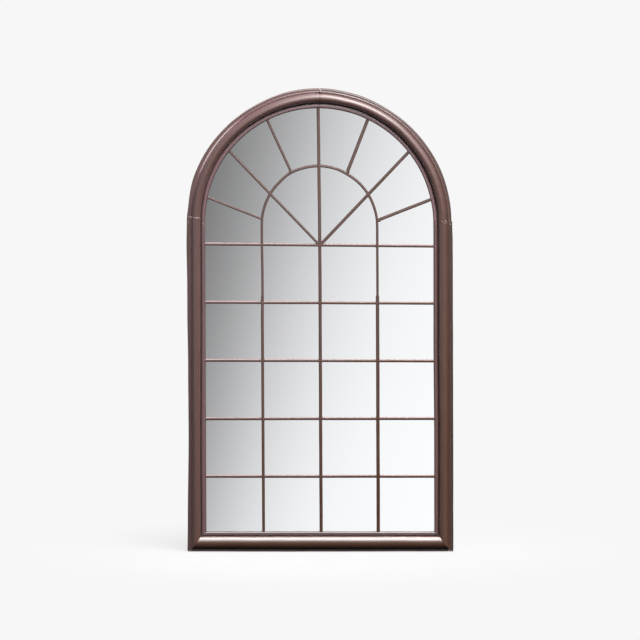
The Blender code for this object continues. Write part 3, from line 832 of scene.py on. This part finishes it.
def seat_welds(paint):
    """Small fillets of weld where bars meet the frame's inner lip."""
    rng = random.Random(SEAT_WELD_DRAWS)
    bm = bmesh.new()
    inside = HALF_WIDTH - FACE_WIDTH
    spots = []
    for name in RAILS:
        spots += [(side * inside, rail_z(name, side * inside)) for side in (-1, 1)]
    for lean in (left_x, centre_x, right_x):
        spots.append((lean(FACE_WIDTH), FACE_WIDTH))
    spots.append((centre_x(SPRINGING + inside), SPRINGING + inside))
    for name in SPOKES:
        inner, along = spoke_line(name)
        spots.append(reach(inner, along, SPRINGING, inside))
    for number, (x, z) in enumerate(spots):
        size = rng.uniform(*SEAT_WELD)
        middle = (STOP_V + BAR_FRONT) / 2
        blob(bm, x, z, middle, size, size, SEAT_WELD_OUT, SEAT_SEED + number)
    dress(mesh_object("seat_welds", bm, paint))


# Materials


# A Mix node's factor, its two colours and its result, by socket
MIX_FACTOR, MIX_FIRST, MIX_SECOND, MIX_RESULT = 0, 6, 7, 2
# Most values of a noise lie further than this from 0 and 1
NOISE_MARGIN = 0.3


def grey(value):
    return (value, value, value)


class Tree:
    """The nodes of a material or a world, with short calls for the kinds that are used."""

    def __init__(self, owner):
        owner.use_nodes = True
        self.owner = owner
        self.nodes, self.links = owner.node_tree.nodes, owner.node_tree.links
        self.where = self.nodes.new("ShaderNodeTexCoord").outputs
        self.body = self.where["Object"]

    def fill(self, node, inputs):
        """Sets each input to a number or a colour, or joins it to another node's output."""
        for socket, value in inputs.items():
            if isinstance(value, tuple):
                node.inputs[socket].default_value = (*value, 1)
            elif isinstance(value, (int, float)):
                node.inputs[socket].default_value = value
            else:
                self.links.new(value, node.inputs[socket])

    def add(self, kind, inputs):
        made = self.nodes.new("ShaderNode" + kind)
        self.fill(made, inputs)
        return made.outputs

    def finish(self, inputs):
        """Sets up the material's own shader."""
        self.fill(self.nodes["Principled BSDF"], inputs)
        return self.owner

    def noise(self, source, scale, detail, stretch=None):
        if stretch:
            mapping = self.nodes.new("ShaderNodeMapping")
            mapping.inputs["Scale"].default_value = stretch
            self.fill(mapping, {"Vector": source})
            source = mapping.outputs["Vector"]
        return self.add("TexNoise", {"Vector": source, "Scale": scale, "Detail": detail})["Fac"]

    def ramp(self, source, stops):
        """Colours or greys by value, from stops of (value, colour or grey)."""
        made = self.nodes.new("ShaderNodeValToRGB")
        elements = made.color_ramp.elements
        while len(elements) < len(stops):
            elements.new(0.5)
        for element, (position, colour) in zip(elements, stops):
            element.position = position
            element.color = (*(colour if isinstance(colour, tuple) else grey(colour)), 1)
        self.fill(made, {"Fac": source})
        return made.outputs["Color"]

    def spread(self, source, low, high, margin=NOISE_MARGIN):
        """Turns a noise into what lies between two colours or two greys."""
        return self.ramp(source, ((margin, low), (1 - margin, high)))

    def mix(self, factor, first, second, blend="MIX"):
        made = self.nodes.new("ShaderNodeMix")
        made.data_type = "RGBA"
        made.blend_type = blend
        self.fill(made, {MIX_FACTOR: factor, MIX_FIRST: first, MIX_SECOND: second})
        return made.outputs[MIX_RESULT]

    def maths(self, operation, *values, clamp=False):
        made = self.nodes.new("ShaderNodeMath")
        made.operation = operation
        made.use_clamp = clamp
        self.fill(made, dict(enumerate(values)))
        return made.outputs["Value"]

    def bump(self, height, strength, distance, normal=None):
        inputs = {"Height": height, "Strength": strength, "Distance": distance}
        if normal:
            inputs["Normal"] = normal
        return self.add("Bump", inputs)["Normal"]

    def choose(self, factor, first, second):
        """The first shader where the factor is 0, and the second where it is 1."""
        return self.add("MixShader", {0: factor, 1: first, 2: second})["Shader"]


def material(name):
    return Tree(bpy.data.materials.new(name))


PAINT_BROWN = (0.070, 0.025, 0.012)
PAINT_MAUVE = (0.080, 0.035, 0.031)
PAINT_OLIVE = (0.050, 0.026, 0.013)
# The mauve tint that comes in with painted light, and the pale colour of painted highlights
PAINT_LIP = (0.080, 0.043, 0.047)
PAINT_HIGHLIGHT = (0.36, 0.30, 0.29)
BAR_BROWN = (0.060, 0.024, 0.011)
BAR_MAUVE = (0.104, 0.068, 0.063)

# Each paint's colours, below and above, its specular level, its IOR and its roughness
PAINTS = {
    "Bronze paint finish": (PAINT_BROWN, PAINT_MAUVE, 1.0, 1.6, 0.445),
    "Rail paint finish": (PAINT_BROWN, PAINT_BROWN, 1.0, 1.75, 0.390),
    "Arch paint finish": (PAINT_BROWN, PAINT_MAUVE, 1.0, 1.55, 0.480),
    "Bar paint finish": (BAR_BROWN, BAR_MAUVE, 0.25, 1.45, 0.58),
}
# How much more mauve it is a metre up, a metre to the right and where it is most clouded
MAUVE_UP, MAUVE_RIGHT, MAUVE_CLOUD = 0.62, -0.55, 0.5
BROWN_END, MAUVE_END = 0.22, 0.92
# Each noise's scale and detail, and how the streaks are stretched along and round a length
PAINT_CLOUD, PAINT_SPECK, PAINT_GRAIN = (9.0, 5.0), (1100.0, 2.0), (140.0, 3.0)
PAINT_STREAK = (1.0, 5.0, (14.0, 260.0, 1.0))
# Stops of (noise, share of olive) or (noise, brightness)
OLIVE_STOPS = ((0.50, 0.0), (0.78, 0.55))
STREAK_STOPS, SPECK_STOPS = ((0.28, 0.88), (0.72, 1.12)), ((0.36, 0.94), (0.64, 1.05))
# How fast the mauve tint comes in with the painted light in Shade, and then the pale colour of
# a painted highlight, from where on
LIP_SLOPE, HIGHLIGHT_SLOPE, HIGHLIGHT_FROM = 1.6, 0.5, 1.0
PAINT_ROUGHNESS_SPREAD = 0.025
PAINT_BUMP = (0.012, 0.0004)


def bronze_paint(name):
    """Semi-gloss bronze paint, mauve above and on the left and browner below, with clouding
    drawn out along each length. Its Shade attribute paints light and shade on it: lighter above 0
    and darker below, then tinted mauve and at the most the pale colour of a painted highlight."""
    brown, mauve, level, index, roughness = PAINTS[name]
    tree = material(name)
    cloud = tree.noise(tree.body, *PAINT_CLOUD)
    streak = tree.noise(tree.where["UV"], *PAINT_STREAK)
    grain = tree.noise(tree.body, *PAINT_GRAIN)
    axes = tree.add("SeparateXYZ", {"Vector": tree.body})
    up = tree.maths("MULTIPLY", axes["Z"], MAUVE_UP)
    right = tree.maths("MULTIPLY", axes["X"], MAUVE_RIGHT)
    clouded = tree.maths("MULTIPLY", cloud, MAUVE_CLOUD)
    lean = tree.maths("ADD", tree.maths("ADD", up, right), clouded)
    base = tree.ramp(lean, ((BROWN_END, brown), (MAUVE_END, mauve)))
    base = tree.mix(tree.ramp(streak, OLIVE_STOPS), base, PAINT_OLIVE)
    base = tree.mix(1.0, base, tree.ramp(streak, STREAK_STOPS), "MULTIPLY")
    speck = tree.noise(tree.body, *PAINT_SPECK)
    base = tree.mix(1.0, base, tree.ramp(speck, SPECK_STOPS), "MULTIPLY")
    attribute = tree.nodes.new("ShaderNodeAttribute")
    attribute.attribute_name = "Shade"
    shade = attribute.outputs["Fac"]
    lit_tint = tree.maths("MULTIPLY", shade, LIP_SLOPE, clamp=True)
    base = tree.mix(lit_tint, base, PAINT_LIP)
    base = tree.mix(1.0, base, tree.maths("ADD", shade, 1.0), "MULTIPLY")
    # How far the paint turns to the pale colour of a painted highlight
    start = -HIGHLIGHT_FROM * HIGHLIGHT_SLOPE
    bare = tree.maths("MULTIPLY_ADD", shade, HIGHLIGHT_SLOPE, start, clamp=True)
    smoother, rougher = roughness - PAINT_ROUGHNESS_SPREAD, roughness + PAINT_ROUGHNESS_SPREAD
    return tree.finish({
        "Base Color": tree.mix(bare, base, PAINT_HIGHLIGHT),
        "Roughness": tree.spread(grain, smoother, rougher),
        "Specular IOR Level": level,
        "IOR": index,
        "Normal": tree.bump(grain, *PAINT_BUMP),
    })


FILLER_GRAIN = (900.0, 3.0)
FILLER_DARK, FILLER_PALE = (0.26, 0.19, 0.17), (0.42, 0.34, 0.33)
FILLER_ROUGHNESS = 0.5


def filler_finish():
    """Pale filler and bare metal where seams were dressed or the paint has chipped."""
    tree = material("Filler mark finish")
    base = tree.spread(tree.noise(tree.body, *FILLER_GRAIN), FILLER_DARK, FILLER_PALE)
    return tree.finish({"Base Color": base, "Roughness": FILLER_ROUGHNESS})


SILVER_FILM, SILVER_MARGIN = (3.0, 3.0), 0.2
SILVER_DULL, SILVER_BRIGHT = (0.862, 0.868, 0.882), (0.880, 0.887, 0.899)


def mirror_finish():
    """Silver that is faintly clouded."""
    tree = material("Silvered glass finish")
    film = tree.noise(tree.body, *SILVER_FILM)
    base = tree.spread(film, SILVER_DULL, SILVER_BRIGHT, SILVER_MARGIN)
    return tree.finish({"Base Color": base, "Metallic": 1.0, "Roughness": 0.0})


BOARD_FIBRE, BOARD_CLOUD = (160.0, 6.0, (1.0, 1.0, 2.2)), (6.0, 4.0)
BOARD_DARK, BOARD_PALE = (0.085, 0.052, 0.031), (0.180, 0.112, 0.068)
BOARD_SHADES = (0.78, 1.15)
BOARD_ROUGHNESS = 0.85
PRESSED_SCALE = 420.0
PRESSED_BUMP, FIBRE_BUMP = (0.45, 0.0006), (0.4, 0.0008)


def board_finish():
    """Dark hardboard, its rough side out, with the fine mesh that pressing leaves."""
    tree = material("Hardboard finish")
    fibre = tree.noise(tree.body, *BOARD_FIBRE)
    base = tree.spread(fibre, BOARD_DARK, BOARD_PALE)
    shade = tree.spread(tree.noise(tree.body, *BOARD_CLOUD), *BOARD_SHADES)
    screen = tree.add("TexVoronoi", {"Vector": tree.body, "Scale": PRESSED_SCALE})
    pressed = tree.bump(screen["Distance"], *PRESSED_BUMP)
    return tree.finish({
        "Base Color": tree.mix(1.0, base, shade, "MULTIPLY"),
        "Roughness": BOARD_ROUGHNESS,
        "Normal": tree.bump(fibre, *FIBRE_BUMP, pressed),
    })


# Each metal's colour, roughness and scale of its spangle
METALS = {
    "Zinc plate finish": ((0.50, 0.48, 0.44), 0.36, 120.0),
    "Ring wire finish": ((0.56, 0.55, 0.53), 0.26, 300.0),
    "Rivet finish": ((0.62, 0.62, 0.63), 0.34, 500.0),
}
SPANGLE_DETAIL = 3.0
SPANGLE_SHADES = (0.78, 1.12)
# How much smoother and rougher the spangle is than the whole
SPANGLE_SMOOTHER, SPANGLE_ROUGHER = 0.07, 0.09
SCRATCHES, SCRATCH_BUMP = (900.0, 2.0, (1.0, 1.0, 0.2)), (0.15, 0.0002)


def plated_finish(name):
    """Plated or plain metal with a soft spangle and fine scratches."""
    colour, roughness, scale = METALS[name]
    tree = material(name)
    spangle = tree.noise(tree.body, scale, SPANGLE_DETAIL)
    tint = tree.spread(spangle, *SPANGLE_SHADES)
    smoother, rougher = roughness - SPANGLE_SMOOTHER, roughness + SPANGLE_ROUGHER
    return tree.finish({
        "Base Color": tree.mix(1.0, colour, tint, "MULTIPLY"),
        "Metallic": 1.0,
        "Roughness": tree.spread(spangle, smoother, rougher),
        "Normal": tree.bump(tree.noise(tree.body, *SCRATCHES), *SCRATCH_BUMP),
    })


# Flat sheets


# The sheets' arrises, the steps round their tops and the turn, in degrees, that stays sharp
GLASS_ARRIS, BOARD_ARRIS = 0.0004, 0.0003
SHEET_STEPS, SHEET_SHARP = 96, 20


def arched_outline(half, base):
    return [(-half, base), (half, base)] + arc((0, SPRINGING), half, 0, 180, SHEET_STEPS)


def sheet_piece(name, node, slot, arris, paint):
    """The glass or the board, with its arrises taken off."""
    low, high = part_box(node)
    layers = ((high.y, arris), (high.y - arris, 0.0), (low.y + arris, 0.0), (low.y, arris))
    bm = bmesh.new()
    rows = []
    for y, inset in layers:
        outline = arched_outline(high.x - inset, low.z + inset)
        rows.append([bm.verts.new((x, y, z)) for x, z in outline])
    for first, second in zip(rows, rows[1:]):
        for i in range(len(first)):
            bm.faces.new((first[i - 1], first[i], second[i], second[i - 1]))
    bm.faces.new(rows[0][::-1])
    bm.faces.new(rows[-1])
    dress(mesh_object(name, bm, paint, SHEET_SHARP), node, slot=slot)


# Stage


def stage_material(name):
    """A material without its first shader."""
    tree = material(name)
    tree.nodes.remove(tree.nodes["Principled BSDF"])
    return tree


def seen_rays(tree):
    """1 on the rays that show the background itself: the camera's, and those that clear glass
    or a true mirror passes on. Rough surfaces see the room instead."""
    path = tree.add("LightPath", {})
    mirrored = tree.maths("MULTIPLY", path["Is Glossy Ray"], path["Is Singular Ray"])
    seen = tree.maths("MAXIMUM", path["Is Camera Ray"], mirrored)
    return tree.maths("MAXIMUM", seen, path["Is Transmission Ray"])


# The room in the mirror: its display value runs from dark to light, about a middle and over a
# spread that both change with each metre up
ROOM_DARK, ROOM_LIGHT = 0.267, 0.992
ROOM_MIDDLE, ROOM_MIDDLE_SLOPE = -0.431, 0.248
ROOM_SPREAD, ROOM_SPREAD_SLOPE = 0.2626, 0.0976
DISPLAY_POWER = 2.24
MIRROR_SHARE = 0.878
CARD_DISTANCE = 0.42
CARD_HALF_WIDTH, CARD_HEIGHT, CARD_LIFT = 4.0, 3.5, 0.002


def room_card():
    """What the mirror faces: a wide card, dim on the left and white on the right. Only a true
    mirror sees it."""
    tree = stage_material("Room reflection")
    axes = tree.add("SeparateXYZ", {"Vector": tree.body})
    drop = CARD_DISTANCE * math.tan(math.radians(CAMERA_PITCH))
    z = tree.maths("ADD", axes["Z"], drop)
    middle = tree.maths("MULTIPLY_ADD", z, ROOM_MIDDLE_SLOPE, ROOM_MIDDLE)
    spread = tree.maths("MULTIPLY_ADD", z, ROOM_SPREAD_SLOPE, ROOM_SPREAD)
    away = tree.maths("DIVIDE", tree.maths("SUBTRACT", axes["X"], middle), spread)
    half = (ROOM_LIGHT - ROOM_DARK) / 2
    shown = tree.maths("MULTIPLY_ADD", tree.maths("TANH", away), half, ROOM_DARK + half)
    level = tree.maths("DIVIDE", tree.maths("POWER", shown, DISPLAY_POWER), MIRROR_SHARE)
    glow = tree.add("Emission", {"Strength": level})["Emission"]
    clear = tree.add("BsdfTransparent", {})["BSDF"]
    sharp = tree.add("LightPath", {})["Is Singular Ray"]
    tree.fill(tree.nodes["Material Output"], {"Surface": tree.choose(sharp, clear, glow)})
    bm = bmesh.new()
    bm.faces.new([
        bm.verts.new((side * CARD_HALF_WIDTH, 0, up * CARD_HEIGHT + CARD_LIFT))
        for side, up in ((-1, 0), (1, 0), (1, 1), (-1, 1))
    ])
    card = add_mesh("room_card", bm, tree.owner)
    card.location = (0, -CARD_DISTANCE, 0)
    card.visible_camera = card.visible_diffuse = card.visible_shadow = False
    card.visible_transmission = card.visible_volume_scatter = False


BACKGROUND = 0.930
FLOOR_SIZE, FLOOR_SQUARES, FLOOR_DROP = 12.0, 8, 0.0005
# The share of the floor that takes shadow, out to where it starts to fade and where it ends
FLOOR_SHADE_SHARE = 0.22
FLOOR_SHADE_CORE, FLOOR_SHADE_REACH = 0.3, 0.9
FLOOR_COLOUR = 0.40
FLOOR_BOUNCE = 0.015


def floor():
    """A pale floor that melts into the background away from the mirror, and keeps its shadow."""
    tree = stage_material("Pale floor")
    glow = tree.add("Emission", {"Color": grey(BACKGROUND)})["Emission"]
    matt = tree.add("BsdfDiffuse", {"Color": grey(FLOOR_COLOUR)})["BSDF"]
    bounce = tree.add("BsdfDiffuse", {"Color": grey(FLOOR_BOUNCE)})["BSDF"]
    length = tree.nodes.new("ShaderNodeVectorMath")
    length.operation = "LENGTH"
    near = tree.nodes.new("ShaderNodeMapRange")
    near.interpolation_type = "SMOOTHSTEP"
    tree.fill(length, {0: tree.body})
    tree.fill(near, {
        "Value": length.outputs["Value"],
        "From Min": FLOOR_SHADE_CORE,
        "From Max": FLOOR_SHADE_REACH,
        "To Min": FLOOR_SHADE_SHARE,
        "To Max": 0.0,
    })
    shown = tree.choose(near.outputs["Result"], glow, matt)
    chosen = tree.choose(seen_rays(tree), bounce, shown)
    tree.fill(tree.nodes["Material Output"], {"Surface": chosen})
    bm = bmesh.new()
    squares = FLOOR_SQUARES
    bmesh.ops.create_grid(bm, x_segments=squares, y_segments=squares, size=FLOOR_SIZE / 2)
    obj = add_mesh("floor", bm, tree.owner)
    obj.location = (0, 0, -FLOOR_DROP)


# Brightness of the room by height of view, low to high, in front of the mirror and behind it
ROOM_FRONT = ((0.40, 0.004), (0.55, 0.024), (0.72, 0.18), (0.90, 0.60))
ROOM_BEHIND = ((0.35, 0.08), (0.50, 0.28), (0.66, 0.50), (0.90, 0.80))
# How quickly the one turns into the other, from what share at the side, and the left's glow
ROOM_TURN, ROOM_TURN_SHARE = 2.0, 0.4
LEFT_GLOW = 0.16


def world():
    """The background, and the room that rough surfaces see instead."""
    made = bpy.data.worlds.new("Studio")
    bpy.context.scene.world = made
    tree = Tree(made)
    back = tree.nodes["Background"]
    tree.fill(back, {"Color": grey(BACKGROUND)})
    axes = tree.add("SeparateXYZ", {"Vector": tree.where["Generated"]})
    height = tree.maths("MULTIPLY_ADD", axes["Z"], 0.5, 0.5)
    depth = tree.maths("MULTIPLY_ADD", axes["Y"], ROOM_TURN, ROOM_TURN_SHARE, clamp=True)
    room = tree.mix(depth, tree.ramp(height, ROOM_FRONT), tree.ramp(height, ROOM_BEHIND))
    side = tree.maths("MULTIPLY", axes["X"], -LEFT_GLOW, clamp=True)
    soft = tree.add("Background", {"Color": tree.mix(1.0, room, side, "ADD")})["Background"]
    chosen = tree.choose(seen_rays(tree), soft, back.outputs["Background"])
    tree.fill(tree.nodes["World Output"], {"Surface": chosen})


# Each softbox's place, what it points at, its width, height, brightness and colour
SOFTBOXES = {
    "overhead_softbox": ((2.2, -3.3, 7.1), (0, 0, 0.7), 4.2, 6.4, 19.5, (1.0, 0.975, 0.97)),
    "low_softbox": ((0.5, -4.2, 3.4), (0, 0, 0.7), 2.0, 1.6, 6.0, (1.0, 0.98, 0.98)),
    "left_strip": ((-1.35, -0.95, 0.75), (-0.36, 0, 0.65), 0.8, 1.4, 0.9, (0.96, 0.97, 1.0)),
    "right_strip": ((2.4, -2.6, 0.9), (0, 0, 0.6), 0.5, 1.8, 1.0, (1.0, 0.97, 0.95)),
    "back_softbox": ((-1.4, 3.0, 2.8), (0, 0, 0.7), 2.0, 2.0, 4.5, (1.0, 0.99, 0.98)),
}


def softbox(name):
    """A rectangular lamp of an even brightness, where 1 is white to look at."""
    location, target, width, height, brightness, colour = SOFTBOXES[name]
    data = bpy.data.lights.new(name, "AREA")
    data.shape = "RECTANGLE"
    data.size, data.size_y = width, height
    data.energy = brightness * math.pi * width * height
    data.color = colour
    light = add_object(name, data)
    light.location = location
    aim = Vector(target) - Vector(location)
    light.rotation_euler = aim.to_track_quat("-Z", "Y").to_euler()
    light.visible_camera = False


def camera():
    """The photograph's framing, without perspective and looking down a little."""
    data = bpy.data.cameras.new("Photo view")
    data.type = "ORTHO"
    data.ortho_scale = PHOTO_WIDTH
    data.clip_end = CAMERA_REACH
    obj = add_object("Photo view", data)
    pitch = math.radians(CAMERA_PITCH)
    pixel = PHOTO_WIDTH / PHOTO_SIZE
    across = (PHOTO_SIZE / 2 - MIDDLE_PIXEL) * pixel
    height = (FOOT_PIXEL - PHOTO_SIZE / 2) * pixel / math.cos(pitch)
    back = Vector((0, -math.cos(pitch), math.sin(pitch)))
    obj.location = Vector((across, 0, height)) + back * CAMERA_DISTANCE
    obj.rotation_euler = (math.radians(90) - pitch, 0, 0)
    bpy.context.scene.camera = obj


# How far a fitting's edges are rounded, in how many steps, and from what turn in degrees
SOFT_WIDTH, SOFT_STEPS, SOFT_TURN = 0.0002, 2, 35


def soften(obj):
    """Rounds a small fitting's edges."""
    bevel = obj.modifiers.new("Soft edges", "BEVEL")
    bevel.width = SOFT_WIDTH
    bevel.segments = SOFT_STEPS
    bevel.limit_method = "ANGLE"
    bevel.angle_limit = math.radians(SOFT_TURN)
    bevel.harden_normals = True
    obj.data.shade_smooth()


def finish_frame_nodes():
    """Gives the small fittings on the back their metals and, but for the rings, soft edges."""
    plated, wire, rivet = [plated_finish(name) for name in METALS]
    for name, obj in frame["nodes"].items():
        if name.startswith(("turn_button", "hanger_strap")):
            paint = plated
        elif name.startswith("hanger_ring"):
            paint = wire
        elif "rivet" in name:
            paint = rivet
        else:
            continue
        for slot in obj.material_slots:
            slot.material = paint
        if not name.startswith("hanger_ring"):
            soften(obj)


def main():
    bpy.context.scene.view_settings.view_transform = "Standard"
    camera()
    world()
    floor()
    for name in SOFTBOXES:
        softbox(name)
    room_card()
    paint, rail_paint, arch_paint, bar_paint = [bronze_paint(name) for name in PAINTS]
    stile(-1, 1, paint)
    stile(1, 2, paint)
    bottom_rail(3, rail_paint)
    arch_half(-1, 4, arch_paint)
    arch_half(1, 6, arch_paint)
    glazing_bars(bar_paint)
    top_sleeve(paint)
    filler_marks(filler_finish())
    bar_welds(bar_paint)
    seat_welds(bar_paint)
    sheet_piece("silvered_glass", "mirror_glass", "mirror", GLASS_ARRIS, mirror_finish())
    sheet_piece("hardboard", "backing_board", "backing_board", BOARD_ARRIS, board_finish())
    finish_frame_nodes()


main()
